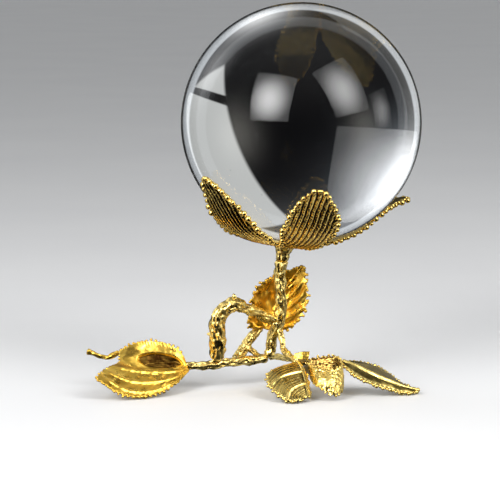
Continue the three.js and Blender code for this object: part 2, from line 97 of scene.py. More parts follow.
def unit(vectors):
    """Each vector divided by its length."""
    return vectors / np.maximum(np.linalg.norm(vectors, axis=-1, keepdims=True), 1e-9)


def facing(grid):
    """The unit normal at each grid point: the direction along the rows crossed with the direction
    across them."""
    return unit(np.cross(np.gradient(grid, axis=0), np.gradient(grid, axis=1)))


def arc(line):
    """How far along a line each of its points is, summed over its last but one axis."""
    steps = np.linalg.norm(np.diff(line, axis=0), axis=-1)
    return np.concatenate([np.zeros((1,) + steps.shape[1:]), np.cumsum(steps, axis=0)])


# %% [markdown]
# ## Cast unevenness
# Real twigs and leaves are never smooth, and casting and plating round them off. A sum of plane waves
# with random directions gives lumps of one chosen size without any seam, because it depends only on
# where a point is in space. Noise textures could bump the shading alone, but lumps in the mesh also
# change the outline and catch the light as real ones do.

# %% Lumps of a chosen size
def lumps(points, size, seed, waves=22):
    """Height from about -1 to 1 at each point: the sum of cosine waves with random directions and
    phases, whose wavelengths are 0.7 to 1.4 times size, scaled to an even spread."""
    random = np.random.default_rng(seed)
    directions = unit(random.normal(size=(waves, 3)))
    turns = 2 * np.pi / (size * random.uniform(0.7, 1.4, waves))
    phases = random.uniform(0, 2 * np.pi, waves)
    total = np.zeros(points.shape[:-1])
    for direction, turn, phase in zip(directions, turns, phases):
        total += np.cos((points @ direction) * turn + phase)
    return total / math.sqrt(waves)


def ridge(distance, pitch):
    """A row of rounded ribs with sharp valleys: 1 on each crest and 0 in each valley, one rib every
    pitch."""
    return np.abs(np.cos(np.pi * distance / pitch))


def bump(distance, width):
    """A bell: 1 where distance is 0, and nearly 0 beyond twice the width."""
    return np.exp(-((distance / width) ** 2))


# %% [markdown]
# ## From grids to closed pieces
# Three kinds of surface build everything. A shell is a leaf: a middle surface with an upper and a lower
# face and a rim between them. A tube is a twig: rings of points closed by a pole at each end. Beads are
# many small copies of one ball, used for the grains along the leaf edges. Each carries a value from 0 in
# the valleys to 1 on the crests, mostly its relief, which the gold finishes read as painted shade: low
# values paint the gold dark, high ones leave it bright.

# %% Shells, tubes and beads
RIM_THINNING = 0.35


def shell(middle, thickness, outer=0.0, inner=0.0, relief_shade=0.5, below=None):
    """A leaf of the given thickness about its middle surface. outer and inner are extra heights of its
    two faces, measured away from the middle. Towards the long edges it thins to two thirds. The lower
    face gets the same painted-shade values as the upper one, unless below gives it its own."""
    rows, columns = middle.shape[:2]
    normal = facing(middle)
    edge = np.abs(np.linspace(-1, 1, columns)) ** 8
    half = thickness / 2 * (1 - RIM_THINNING * edge)
    upper = middle + normal * (half + outer)[..., None]
    lower = middle - normal * (half + inner)[..., None]
    index = np.arange(rows * columns).reshape(rows, columns)
    a, b, c, d = index[:-1, :-1], index[1:, :-1], index[1:, 1:], index[:-1, 1:]
    top = np.stack([a, b, c, d], -1).reshape(-1, 4)
    rim = np.concatenate([index[:-1, 0], index[-1, :-1], index[:0:-1, -1], index[0, :0:-1]])
    ahead = np.roll(rim, -1)
    side = np.stack([rim, rim + index.size, ahead + index.size, ahead], -1)
    under = relief_shade if below is None else below
    shades = [np.broadcast_to(face, (rows, columns)).ravel() for face in (relief_shade, under)]
    vertices = np.concatenate([upper.reshape(-1, 3), lower.reshape(-1, 3)])
    return vertices, [top, top[:, ::-1] + index.size, side], np.concatenate(shades)


def tube(rings, relief_shade):
    """Rings of points joined in order, with a pole at the middle of the first and of the last ring."""
    rows, sides = rings.shape[:2]
    index = np.arange(rows * sides).reshape(rows, sides)
    right = np.roll(index, -1, axis=1)
    wall = np.stack([index[:-1], right[:-1], right[1:], index[1:]], -1).reshape(-1, 4)
    start, end = rows * sides, rows * sides + 1
    first = np.stack([np.full(sides, start), right[0], index[0]], -1)
    last = np.stack([np.full(sides, end), index[-1], right[-1]], -1)
    poles = np.stack([rings[0].mean(0), rings[-1].mean(0)])
    shade = np.concatenate([relief_shade.ravel(), relief_shade[0].mean(keepdims=True), relief_shade[-1].mean(keepdims=True)])
    return np.concatenate([rings.reshape(-1, 3), poles]), [wall, first, last], shade


def beads(centres, radii, shade=0.95):
    """One small ball at each centre. radii holds one radius each, or three to stretch it along x, y
    and z. Every ball is the same 7 by 8 grid of points, closed at its poles."""
    around = np.linspace(0, 2 * np.pi, 8, endpoint=False)
    down = np.linspace(0, np.pi, 7)[1:-1]
    rings = np.stack([
        np.sin(down)[:, None] * np.cos(around),
        np.sin(down)[:, None] * np.sin(around),
        np.repeat(-np.cos(down)[:, None], 8, axis=1),
    ], -1)
    ball, faces, _ = tube(rings, np.zeros(rings.shape[:2]))
    ball[-2:] = [[0, 0, -1], [0, 0, 1]]
    radii = np.asarray(radii, float)
    radii = radii[:, None] if radii.ndim == 1 else radii
    vertices = centres[:, None, :] + ball[None] * radii[:, None, :]
    offset = np.arange(len(centres))[:, None, None] * len(ball)
    grown = [(face[None] + offset).reshape(-1, face.shape[1]) for face in faces]
    return vertices.reshape(-1, 3), grown, np.full(len(centres) * len(ball), shade)


def make_piece(node, surfaces, finish, slot, body="stand"):
    """Joins surfaces into one mesh in metres, gives it its finish, and lets it stand for its CAD node."""
    vertices, faces, shade, start = [], [], [], 0
    for points, groups, relief_shade in surfaces:
        vertices.append(points)
        shade.append(relief_shade)
        for group in groups:
            faces += (group + start).tolist()
        start += len(points)
    points = np.concatenate(vertices)
    points[:, 2] = np.maximum(points[:, 2], 0.0)
    mesh = bpy.data.meshes.new(node)
    mesh.from_pydata((AXIS + points * MM).tolist(), [], faces)
    mesh.polygons.foreach_set("use_smooth", np.ones(len(faces), bool))
    # Each point's value goes into an attribute that the gold reads to paint shade into the valleys.
    attribute = mesh.attributes.new("relief_shade", "FLOAT", "POINT")
    attribute.data.foreach_set("value", np.clip(np.concatenate(shade), 0, 1).astype(np.float32))
    mesh.materials.append(finish)
    mesh.update()
    piece = bpy.data.objects.new("fine_" + node, mesh)
    bpy.context.scene.collection.objects.link(piece)
    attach(piece, body)
    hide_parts(node)
    print(node, len(faces), "faces")
    return piece


# %% [markdown]
# ## Gold finishes
# Gold plate is a metal shader whose colour is the tint of its reflections. Three things make it read as
# a plated casting instead of plain yellow: the valleys are painted darker and redder, as painted shade
# for the light that bounces between their walls and reaches them less; the roughness changes from spot
# to spot; and a fine grain from the casting breaks up the highlights. Each finish below differs only in
# those amounts.

# %% A gold finish
PATCHES_PER_METRE, PIT_DEPTH = 260.0, 0.0002
BLOTCH = 0.3
# Values below VALLEY_ENDS take the dark valley colour, a painted shade; values above CREST_STARTS take the
# full crest colour.
VALLEY_ENDS, CREST_STARTS = 0.05, 0.55
EVEN_NOISE = 0.25, 0.75  # where nearly all of the noise lies


def gold(name, crest, valley, smooth, dull, grain, grain_size):
    """Gold whose colour runs from the valley colour, a painted shade, to the crest colour with the value
    each point of the piece carries, whose roughness wanders from smooth to dull, and whose grain of the
    given size in millimetres bumps the surface."""
    material = bpy.data.materials.new(name)
    material.use_nodes = True
    nodes, links = material.node_tree.nodes, material.node_tree.links
    shader = nodes["Principled BSDF"]
    shader.inputs["Metallic"].default_value = 1.0
    place = nodes.new("ShaderNodeTexCoord")
    height = nodes.new("ShaderNodeAttribute")
    height.attribute_name = "relief_shade"
    patches = nodes.new("ShaderNodeTexNoise")
    patches.inputs["Scale"].default_value = PATCHES_PER_METRE
    patches.inputs["Detail"].default_value = 4.0
    links.new(place.outputs["Object"], patches.inputs["Vector"])
    blotch = nodes.new("ShaderNodeMath")
    blotch.operation = "MULTIPLY_ADD"
    blotch.inputs[1].default_value = BLOTCH
    blotch.inputs[2].default_value = -BLOTCH / 2
    links.new(patches.outputs["Fac"], blotch.inputs[0])
    level = nodes.new("ShaderNodeMath")
    level.operation = "ADD"
    level.use_clamp = True
    links.new(height.outputs["Fac"], level.inputs[0])
    links.new(blotch.outputs[0], level.inputs[1])
    # The ramp paints shade: the dark valley colour at low values, the bright crest colour at high ones.
    colour = nodes.new("ShaderNodeValToRGB")
    colour.color_ramp.elements[0].color = (*valley, 1)
    colour.color_ramp.elements[0].position = VALLEY_ENDS
    colour.color_ramp.elements[1].color = (*crest, 1)
    colour.color_ramp.elements[1].position = CREST_STARTS
    links.new(level.outputs[0], colour.inputs["Fac"])
    links.new(colour.outputs["Color"], shader.inputs["Base Color"])
    polish = nodes.new("ShaderNodeMapRange")
    polish.inputs["From Min"].default_value, polish.inputs["From Max"].default_value = EVEN_NOISE
    polish.inputs["To Min"].default_value = smooth
    polish.inputs["To Max"].default_value = dull
    links.new(patches.outputs["Fac"], polish.inputs["Value"])
    links.new(polish.outputs["Result"], shader.inputs["Roughness"])
    pits = nodes.new("ShaderNodeTexNoise")
    pits.inputs["Scale"].default_value = 1 / (grain_size * MM)
    pits.inputs["Detail"].default_value = 3.0
    links.new(place.outputs["Object"], pits.inputs["Vector"])
    press = nodes.new("ShaderNodeBump")
    press.inputs["Strength"].default_value = grain
    press.inputs["Distance"].default_value = PIT_DEPTH
    links.new(pits.outputs["Fac"], press.inputs["Height"])
    links.new(press.outputs["Normal"], shader.inputs["Normal"])
    return material


# %% The five golds
# Each valley colour is the painted shade in the hollows of the pieces that wear that gold.
gold_bark = gold(
    "gold_bark", crest=(1.0, 0.76, 0.25), valley=(0.16, 0.07, 0.012),
    smooth=0.16, dull=0.36, grain=0.9, grain_size=0.8)
gold_leaf = gold(
    "gold_leaf", crest=(1.0, 0.64, 0.10), valley=(0.08, 0.03, 0.006),
    smooth=0.20, dull=0.38, grain=0.22, grain_size=0.7)
gold_grain = gold(
    "gold_grain", crest=(1.0, 0.74, 0.21), valley=(0.12, 0.05, 0.01),
    smooth=0.18, dull=0.36, grain=0.6, grain_size=0.8)
gold_olive = gold(
    "gold_olive", crest=(1.0, 0.76, 0.24), valley=(0.12, 0.085, 0.018),
    smooth=0.18, dull=0.34, grain=0.2, grain_size=0.6)
gold_ribbed = gold(
    "gold_ribbed", crest=(1.0, 0.73, 0.22), valley=(0.07, 0.03, 0.006),
    smooth=0.12, dull=0.28, grain=0.2, grain_size=0.6)
print("golds", [m.name for m in (gold_bark, gold_leaf, gold_grain, gold_olive, gold_ribbed)])

# %% [markdown]
# ## The crystal ball
# A polished ball of clear glass, ground and polished to a true sphere. It could be an icosphere or a
# subdivided cube, but a grid of latitude and longitude with closed poles has smooth rows that bend
# light evenly. Glass shows every flat, so the grid is fine. The shader is clear glass with the bending
# power of plain optical glass, and a few grey specks for the dust that any handled ball has.

# %% The ball's glass and its sphere
GLASS_BENDING, SPECKS_PER_METRE = 1.52, 130.0
BALL_RINGS, BALL_SIDES = 161, 320
glass = bpy.data.materials.new("crystal_glass")
glass.use_nodes = True
nodes, links = glass.node_tree.nodes, glass.node_tree.links
clear = nodes["Principled BSDF"]
clear.inputs["Roughness"].default_value = 0.0
clear.inputs["IOR"].default_value = GLASS_BENDING
clear.inputs["Transmission Weight"].default_value = 1.0
spots = nodes.new("ShaderNodeTexCoord")
dust = nodes.new("ShaderNodeTexVoronoi")
dust.inputs["Scale"].default_value = SPECKS_PER_METRE
links.new(spots.outputs["Object"], dust.inputs["Vector"])
speck = nodes.new("ShaderNodeValToRGB")
speck.color_ramp.elements[0].color = (0.72, 0.74, 0.75, 1)
speck.color_ramp.elements[0].position = 0.03
speck.color_ramp.elements[1].color = (0.985, 0.995, 1.0, 1)
speck.color_ramp.elements[1].position = 0.05
links.new(dust.outputs["Distance"], speck.inputs["Fac"])
links.new(speck.outputs["Color"], clear.inputs["Base Color"])

down = np.linspace(0, np.pi, BALL_RINGS)[1:-1][:, None]
turn = np.linspace(0, 2 * np.pi, BALL_SIDES, endpoint=False)[None, :]
sphere = BALL_CENTRE + BALL_RADIUS * np.stack([
    np.sin(down) * np.cos(turn),
    np.sin(down) * np.sin(turn),
    -np.cos(down) * np.ones_like(turn),
], -1)
ball_points, ball_faces, ball_shade = tube(sphere, np.ones(sphere.shape[:2]))
ball_points[-2:] = BALL_CENTRE + np.array([[0, 0, -BALL_RADIUS], [0, 0, BALL_RADIUS]])
make_piece("crystal_ball", [(ball_points, ball_faces, ball_shade)], glass, "crystal", body="ball")

# %% [markdown]
# ## Twigs
# The branch is cast from real twigs: round, but with bark ridges that run along them, buds and knots.
# Each twig is a profile carried along a route. The route's points say where its middle runs and how
# much it swells there. The ring at each place is a circle whose radius is changed by ridges, knots and
# lumps. A curve object with a bevel would be quicker, but can't be given bark.

# %% A twig along its route
BARK_RIDGE, BARK_KNOT, BARK_LUMP, BARK_GRAIN = 0.20, 0.34, 0.16, 0.13  # heights
ROUNDED_END = 0.8


def twig(route, radius, seed, across, bark=1.0, sides=44, step=0.22):
    """Rings along a route of x, y, z and swell. Places are an even step apart along the smooth line.
    Each ring lies square to the line: its first axis is the line's direction crossed with across, and
    its second is square to both. Radius = radius times swell, plus bark times ridges that wind slowly
    along the twig, knots at random places and lumps. Both ends are rounded off within 0.8 of a radius."""
    route = np.asarray(route, float)
    fine = np.linspace(0, 1, 1500)
    along = arc(through(route[:, :3], fine))
    length = along[-1]
    s = np.linspace(0, length, max(12, int(length / step)))
    t = np.interp(s, along, fine)
    middle, swell = through(route[:, :3], t), through(route[:, 3], t)
    forward = unit(np.gradient(middle, axis=0))
    first = unit(np.cross(forward, np.asarray(across, float)))
    second = np.cross(forward, first)
    angle = np.linspace(0, 2 * np.pi, sides, endpoint=False)[None, :]
    size = (radius * swell)[:, None]
    local = np.stack([
        0.45 * np.repeat(s[:, None], sides, 1),
        size * np.cos(angle),
        size * np.sin(angle),
    ], -1)
    random = np.random.default_rng(seed)
    knots = max(2, int(length / 2.2))
    where, turn, strength = (random.uniform(a, b, knots) for a, b in ((0, length), (0, 2 * np.pi), (0.4, 1)))
    gap = np.angle(np.exp(1j * (angle[..., None] - turn)))
    knot = strength * np.exp(-((s[:, None, None] - where) / 0.9) ** 2 - (gap * radius / 0.7) ** 2)
    winding = angle + 0.06 * s[:, None] + 0.5 * lumps(local, 9.0, seed + 1, 8)
    ridges = np.abs(np.sin(3.5 * winding)) - 0.5
    height = BARK_RIDGE * ridges + BARK_KNOT * knot.sum(-1) + BARK_LUMP * lumps(local, 1.7, seed + 2)
    height = height + BARK_GRAIN * lumps(local, 0.9, seed + 3)
    end = np.minimum(s, length - s)
    rounded = np.sqrt(np.clip(1 - (1 - np.minimum(end / (ROUNDED_END * radius), 1)) ** 2, 0.0, 1))[:, None]
    reach = (size + bark * height) * rounded
    rings = middle[:, None] + reach[..., None] * (
        np.cos(angle)[..., None] * first[:, None] + np.sin(angle)[..., None] * second[:, None]
    )
    # Bark hollows get low values, so the gold paints them dark as painted shade; ridges and knots get high
    # values and stay bright.
    return tube(rings, 0.45 + 0.9 * height)


# %% [markdown]
# ## Stem, runner, arch and stalks
# The stem carries the ball. The runner lies near the table and joins the left leaf to the foot of the
# stem. The arch is the thickest twig and has two thorns. The thin stalks carry the leaves.

# %% The routes, and the pieces made from them
STEM = [
    [-6.2, 0.5, 43.7, 1.25], [-7, 1, 38.5, 1], [-6.6, 1.5, 31.8, 1.05], [-6.6, 2, 26.1, 1.1],
    [-8, 2.5, 20.8, 1.15], [-9.7, 3, 15.7, 0.95], [-10.5, 3, 9.6, 0.9],
]
RUNNER = [
    [-38.9, -4.2, 8.2, 0.8], [-32.6, -4, 8.3, 1], [-28.8, -3.4, 8.6, 1.15], [-23.9, -1, 8.8, 1],
    [-19.4, 2.2, 8.9, 1.1], [-14.9, 3.6, 8.8, 1], [-10.8, 3.1, 9.4, 0.9],
]
ARCH = [
    [-7.8, 2.4, 21.8, 0.7], [-12.8, 0, 24.8, 0.75], [-17.7, -3, 27.3, 0.8], [-21.8, -5.5, 29.2, 0.95],
    [-25.6, -6, 27.8, 1], [-27.8, -6, 24.2, 1.1], [-27.9, -5, 18.4, 1.2], [-28, -4.2, 13, 1.1],
    [-28.5, -3.6, 10, 0.9],
]
UPRIGHT_STALK = [
    [-20.8, 1.8, 8.9, 0.8], [-21.4, 5, 8.8, 0.9], [-20.2, 7.6, 10.2, 1.05], [-18.4, 9, 12.8, 0.95],
    [-16.4, 9.8, 15.8, 0.9], [-13, 10.3, 19, 0.7],
]
ROOT = [[-17.8, 9, 12.2, 0.9], [-15, 8.8, 9.8, 0.9], [-12.2, 5.4, 8.9, 1.1]]
FRONT_STALK = [
    [-7.6, 1.8, 20.6, 0.8], [-6.2, -0.6, 16.5, 0.85], [-5.8, -1.8, 13.4, 0.95], [-3.9, -5, 11.8, 1],
    [-1.2, -9, 10.3, 1.1],
]
RIGHT_STALK = [[-3.8, -4.9, 11.7, 0.8], [1, -5.6, 9.6, 0.9], [7, -6.6, 9.4, 0.9], [13.8, -11.2, 10.8, 0.9]]
REAR_STALK = [[-10.4, 3.4, 9.9, 0.9], [-7, 8, 9, 1], [-3, 13, 7.4, 1], [0.8, 18.2, 5.4, 1]]
TENDRIL = [
    [-61, -0.6, 12.4, 1], [-63.3, -0.8, 11.1, 1.25], [-65.1, -1, 10.5, 0.9], [-67.7, -1, 11, 0.85],
    [-70.2, -0.6, 12, 1], [-72, -0.3, 12.5, 1.4],
]
THORNS = [
    [[-21.6, -5.5, 29.6, 1.0], [-22, -5.5, 31.4, 0.62], [-22.5, -5.5, 33, 0.25]],
    [[-28.2, -5, 18.8, 1.0], [-29.9, -5.2, 19.1, 0.6], [-31.5, -5.3, 19.3, 0.25]],
]
SIDE, DEPTH, UP = (1, 0, 0), (0, 1, 0), (0, 0, 1)
STEM_BARK = gold_bark, "gilt_bark"
stem = twig(STEM, radius=1.7, seed=11, across=DEPTH, bark=1.1)
make_piece("main_stem", [stem], *STEM_BARK)
runner = twig(RUNNER, radius=1.3, seed=21, across=UP)
make_piece("ground_runner", [runner], *STEM_BARK)
arch_parts = [
    twig(ARCH, radius=2.2, seed=31, across=DEPTH, bark=1.2),
    twig(THORNS[0], radius=1.3, seed=41, across=DEPTH, bark=0.5),
    twig(THORNS[1], radius=1.3, seed=42, across=UP, bark=0.5),
]
make_piece("arch_twig", arch_parts, *STEM_BARK)
upright_stalk = twig(UPRIGHT_STALK, radius=1.7, seed=51, across=SIDE, bark=1.1)
make_piece("upright_leaf_stalk", [upright_stalk], *STEM_BARK)
root = twig(ROOT, radius=1.0, seed=61, across=(1, 0, 1), bark=0.8)
make_piece("root_fork", [root], *STEM_BARK)
front_stalk = twig(FRONT_STALK, radius=1.0, seed=71, across=SIDE, bark=0.7)
make_piece("front_leaf_stalk", [front_stalk], *STEM_BARK)
right_stalk = twig(RIGHT_STALK, radius=1.0, seed=81, across=UP, bark=0.7)
make_piece("right_leaf_stalk", [right_stalk], *STEM_BARK)
rear_stalk = twig(REAR_STALK, radius=1.0, seed=91, across=SIDE, bark=0.7)
make_piece("rear_leaf_stalk", [rear_stalk], *STEM_BARK)
tendril = twig(TENDRIL, radius=0.8, seed=101, across=DEPTH, bark=0.45)
make_piece("left_leaf_tendril", [tendril], gold_leaf, "gilt_leaf")

# %% [markdown]
# ## The calyx knob
# The stem ends in a flared knob, like the cup under a flower, and the four cradle leaves are brazed to
# its rim. It is a surface of revolution about the line from the stem's top to the ball's centre, with
# eight shallow sepals round it. A lathe with a Screw modifier would give plain rings and no sepals.

# %% The knob
STEM_TOP = np.array([-6.2, 0.5, 43.5])
KNOB_RIM = 3.5
SEPAL_HEIGHT = 0.09
LEAN = unit(BALL_CENTRE - STEM_TOP)


def knob():
    """Rings about the leaning axis: the radius runs smoothly from foot to rim, times 1 plus a wave that
    repeats every eighth of a turn for the sepals, plus lumps, and falls to nothing at both ends."""
    profile = [
        [0.2, -0.5], [1.9, -0.4], [2.15, 0.6], [2.3, 1.8], [2.7, 3], [3.3, 4.2], [KNOB_RIM, 5],
        [3.2, 5.6], [0.2, 5.6],
    ]
    outline = through(profile, np.linspace(0, 1, 60))
    angle = np.linspace(0, 2 * np.pi, 96, endpoint=False)[None, :]
    side = unit(np.cross(LEAN, [0.0, 1.0, 0.0]))
    other = np.cross(LEAN, side)
    radius, height = outline[:, :1], outline[:, 1:]
    wave = np.abs(np.cos(4 * angle + 0.25 * height)) - 0.6
    reach = radius * (1 + SEPAL_HEIGHT * wave)
    ring = reach[..., None] * (np.cos(angle)[..., None] * side + np.sin(angle)[..., None] * other)
    centre = STEM_TOP + 0.3 * LEAN + height[..., None] * LEAN
    rough = lumps(ring + centre, 1.3, 5)
    grow = 1 + 0.05 * rough * np.minimum(radius / 2, 1)
    # Grooves between the sepals get low values, so the gold paints them dark as painted shade.
    return tube((centre + ring * grow[..., None])[:, ::-1], 0.5 + 0.5 * wave + 0.35 * rough)


make_piece("calyx_knob", [knob()], *STEM_BARK)

# %% [markdown]
# ## Beaded leaf edges
# All the leaves have a serrated edge that casting has rounded into grains: small teeth with a bead on
# each. The teeth are a wave that pushes the edge of the leaf in and out. The beads are tiny balls half
# sunk in the rim, each a little different in size, because real serrations are.

# %% Teeth and beads along an edge
def teeth(grid, pitch, depth, band=0.16):
    """Moves the two long edges in and out by depth times a wave with one crest every pitch of length.
    The push fades out over the band of width next to each edge. Returns the new grid and the wave,
    which is 1 on a tooth and 0 between teeth."""
    v = np.linspace(0, 1, grid.shape[1])[None, :]
    near, far = np.clip(1 - v / band, 0, 1) ** 1.5, np.clip(1 - (1 - v) / band, 0, 1) ** 1.5
    s = np.where(v < 0.5, arc(grid[:, 0])[:, None], arc(grid[:, -1])[:, None])
    wave = 0.5 + 0.5 * np.cos(2 * np.pi * s / pitch)
    outward = unit(grid[:, 0] - grid[:, 2])[:, None] * near[..., None]
    outward = outward + unit(grid[:, -1] - grid[:, -3])[:, None] * far[..., None]
    return grid + depth * (wave - 0.5)[..., None] * outward, wave * (near + far)


def edge_beads(line, outward, pitch, radius, seed, sink=0.0, skip=0.0):
    """Balls along an edge line, one every pitch, moved outward by less than their radius. Each radius
    is the given one times a random 0.75 to 1.15. skip leaves that much of the line free at its start."""
    s = arc(line)
    count = max(2, int((s[-1] - skip) / pitch))
    at = skip + (np.arange(count) + 0.5) * (s[-1] - skip) / count
    random = np.random.default_rng(seed)
    spot = np.stack([np.interp(at, s, line[:, k]) for k in range(3)], -1)
    push = np.stack([np.interp(at, s, outward[:, k]) for k in range(3)], -1)
    sizes = radius * random.uniform(0.75, 1.15, count)
    centres = spot + unit(push) * (sizes * (0.35 - sink))[:, None]
    centres = centres + random.normal(scale=0.12 * radius, size=centres.shape)
    return beads(centres, sizes)


def rim_beads(grid, pitch, radius, seed, sink=0.0, skip=0.0):
    """Beads along both long edges of a leaf."""
    left = edge_beads(grid[:, 0], grid[:, 0] - grid[:, 2], pitch, radius, seed, sink, skip)
    right = edge_beads(grid[:, -1], grid[:, -1] - grid[:, -3], pitch, radius, seed + 1, sink, skip)
    return [left, right]


# %% [markdown]
# ## Cradle leaves
# Four ribbed leaves grow from the knob and hug the ball. Each starts at the knob's rim and follows the
# ball up to its tip, so the natural way to write it down is by direction from the ball's centre: how
# far along its arc, and how far sideways. Its outer face has deep lengthwise ribs. Its inner face is
# plain, because the ball has to sit against it, and the two stay 0.3 mm apart. The leaf at the back is
# a guess.

# %% The four cradle leaves
SEAT_GAP, CRADLE_THICKNESS, CRADLE_WIDTH = 0.3, 0.9, 18.6
CRADLE_TOOTH_PITCH, CRADLE_RIB_HEIGHT = 2.7, 0.6
CRADLE = {
    "cradle_leaf_front": dict(
        turn=277.5, rise=65.5, bow=-1.6, bulge=1.5, flare=3.2, base=6, fullest=1.5, fan=0.7, pitch=1.7),
    "cradle_leaf_left": dict(
        turn=217, rise=68, bow=-3.4, bulge=2.1, flare=1.4, base=2.4, fullest=0.95, fan=0.1, pitch=1.8),
    "cradle_leaf_right": dict(
        turn=20, rise=55.5, bow=-2.4, bulge=0.3, flare=6, base=4, fullest=0.9, fan=0.1, pitch=1.3),
    "cradle_leaf_back": dict(
        turn=111, rise=58, bow=1.5, bulge=0.8, flare=1.5, base=4, fullest=1, fan=0.1, pitch=1.3),
}


def cradle_leaf(turn, rise, bow, bulge, flare, base, fullest, fan, pitch, seed):
    """For u along and v across: the middle line is the arc that turns the knob's direction towards the
    tip's, a point is that direction leant sideways by the share v of the width plus bow times the sine
    of half a turn, and it stands off the ball by bulge times that sine squared, plus flare times the
    square of the share gone of the last three tenths. Ribs: one every pitch across, slanted by six times
    fan from base to tip."""
    rows, columns = 300, 84
    u, v = np.linspace(0, 1, rows)[:, None], np.linspace(0, 1, columns)[None, :]
    a, b = math.radians(turn), math.radians(rise)
    start = -LEAN
    tip = np.array([math.sin(b) * math.cos(a), math.sin(b) * math.sin(a), -math.cos(b)])
    sweep = math.acos(start @ tip)
    pole = unit(np.cross(start, tip))
    first = (KNOB_RIM + SEAT_GAP) / BALL_RADIUS
    angle = (first + (sweep - first) * u)[..., None]
    middle = start * np.cos(angle) + np.cross(pole, start) * np.sin(angle)
    rounded = np.sin(np.pi * u**fullest).clip(0) ** 0.75
    width = base + (1.2 - base) * u + (CRADLE_WIDTH - base) * rounded
    off = (bow * np.sin(np.pi * u) + (v - 0.5) * width) / BALL_RADIUS
    lift = bulge * np.sin(np.pi * u) ** 2 + flare * np.clip((u - 0.7) / 0.3, 0, 1) ** 2
    ray = middle * np.cos(off)[..., None] + pole * np.sin(off)[..., None]
    reach = BALL_RADIUS + SEAT_GAP + CRADLE_THICKNESS / 2 + lift
    grid = BALL_CENTRE + ray * reach[..., None]
    grid, tooth = teeth(grid, CRADLE_TOOTH_PITCH, 0.7)
    across = (v - 0.5) * width * (1 + 0.1 * np.sin(np.pi * u)) + fan * 6 * (u - 0.5)
    rib = ridge(across + 0.12 * lumps(grid, 6.0, seed, 8), pitch)
    fade = np.clip(width / 5, 0, 1)
    outer = CRADLE_RIB_HEIGHT * fade * rib + 0.05 * lumps(grid, 0.9, seed + 1) + 0.25 * tooth
    # The outer face is painted dark between its ribs as painted shade, and left bright gold on the rib crests
    # and teeth.
    relief_shade = 0.7 * (rib * fade) ** 2 + 0.3 * tooth
    faces_ball = (facing(grid) * ray).sum(-1).mean() < 0
    sheet, outer, relief_shade = (part if faces_ball else part[:, ::-1] for part in (grid, outer, relief_shade))
    leaf = shell(sheet, CRADLE_THICKNESS, inner=outer, relief_shade=0.5, below=relief_shade)
    outside = ray * 0.6
    rims = rim_beads(grid + outside, CRADLE_TOOTH_PITCH, 0.95, seed + 2, sink=0.1, skip=2.0)
    end = grid[-1] + outside[-1]
    tip_line = through(end[[0, columns // 2, -1]], np.linspace(0, 1, 5))
    rims.append(beads(tip_line[1::2], np.array([0.7, 0.7])))
    return [leaf] + rims


for order, (node, shape) in enumerate(CRADLE.items()):
    make_piece(node, cradle_leaf(**shape, seed=200 + 10 * order), gold_ribbed, "gilt_ribbed_leaf")

# %% [markdown]
# ## Ground leaves
# Four leaves stand on the table, each on one small bead. They look pressed from real leaves, so a vein
# that stands up on one face is a groove on the other. That is done by moving the middle surface itself
# by the height of the veins before it gets its thickness. Each leaf has veins of its own, written as
# ridges over u, along the leaf, and v, across it.

# %% Pressing veins through a leaf
LEAF_THICKNESS, FOOT_HEIGHT = 0.9, 1.6


def pressed(grid, height, shown):
    """The grid moved by height along its normal, on the side that faces the direction shown. shown may
    be one direction or one for each point."""
    normal = facing(grid)
    side = np.sign((normal * shown).sum(-1).mean())
    return grid + side * height[..., None] * normal


def over(guides, rows, columns):
    """The skin over the guides with its u and v."""
    grid = skin(guides, rows, columns)
    return grid, np.linspace(0, 1, rows)[:, None], np.linspace(0, 1, columns)[None, :]


def foot(x, y):
    """The bead that the leaf stands on: a ball 2 mm wide, flattened to the foot's height."""
    half = FOOT_HEIGHT / 2
    return beads(np.array([[x, y, half]]), np.array([[1.0, 1.0, half]]))


# %% [markdown]
# ## The left leaf
# A broad leaf folded along its middle like a boat. Its far wall stands up, its near lobe spreads over
# the table, and long veins sweep through the lobe from the stalk. It ends in a tendril.

# %% The left leaf
LEFT_LEAF = [
    [[-38.4, -3.4, 8.8], [-41.5, -3, 13.9], [-49, -3.1, 16.4], [-55.8, -2, 15.4], [-60.8, -1.2, 12.8]],
    [[-38.2, -4, 8.3], [-42, -4.4, 10.8], [-49, -4.6, 11.9], [-55.6, -4.6, 12.1], [-60.6, -4.4, 11.2]],
    [[-38, -4.8, 7.8], [-42.5, -6.4, 7.1], [-49, -7.2, 7], [-55.5, -7.6, 8], [-60.6, -8.2, 9.9]],
    [[-37.9, -5.4, 7.5], [-42.2, -9, 7.3], [-49, -10.6, 7.8], [-56.5, -12, 8.6], [-63, -13.6, 9.6]],
    [[-37.7, -6, 7.2], [-42.2, -11.8, 5.4], [-49.6, -15, 4.7], [-57.5, -17.6, 5.6], [-65.6, -18.8, 8.8]],
    [[-37.6, -6.6, 6.8], [-42.6, -14, 3.3], [-50, -19.4, 0.95], [-58.5, -23, 1.9], [-67.6, -23.6, 7.6]],
]
grid, u, v = over(LEFT_LEAF, 300, 120)
grid, tooth = teeth(grid, 1.9, 0.6, 0.1)
lobe = np.clip((v - 0.45) / 0.2, 0, 1)
sweep = v - 0.04 * np.sin(np.pi * u)
veins = 0.5 * bump(sweep - 0.62, 0.018) + 0.4 * bump(sweep - 0.77, 0.016) + 0.3 * bump(sweep - 0.9, 0.014)
side_veins = ridge(34 * u - 20 * (v - 0.45), 4.2) ** 6 * lobe * 0.1
wall_ribs = ridge(46 * u + 14 * v, 1.6) * np.clip(1 - v / 0.08, 0, 1) * 0.12
hollow = np.clip(4 - 4 * ((v - 0.26) / 0.10) ** 2 - 4 * ((u - 0.40) / 0.33) ** 2, 0, 1)
streaks = ridge(60 * v + 0.4 * lumps(grid, 5.0, 303, 8), 1.1) ** 3
height = veins * np.sin(np.pi * u) ** 0.4 + side_veins + wall_ribs + 0.05 * lumps(grid, 2.6, 301)
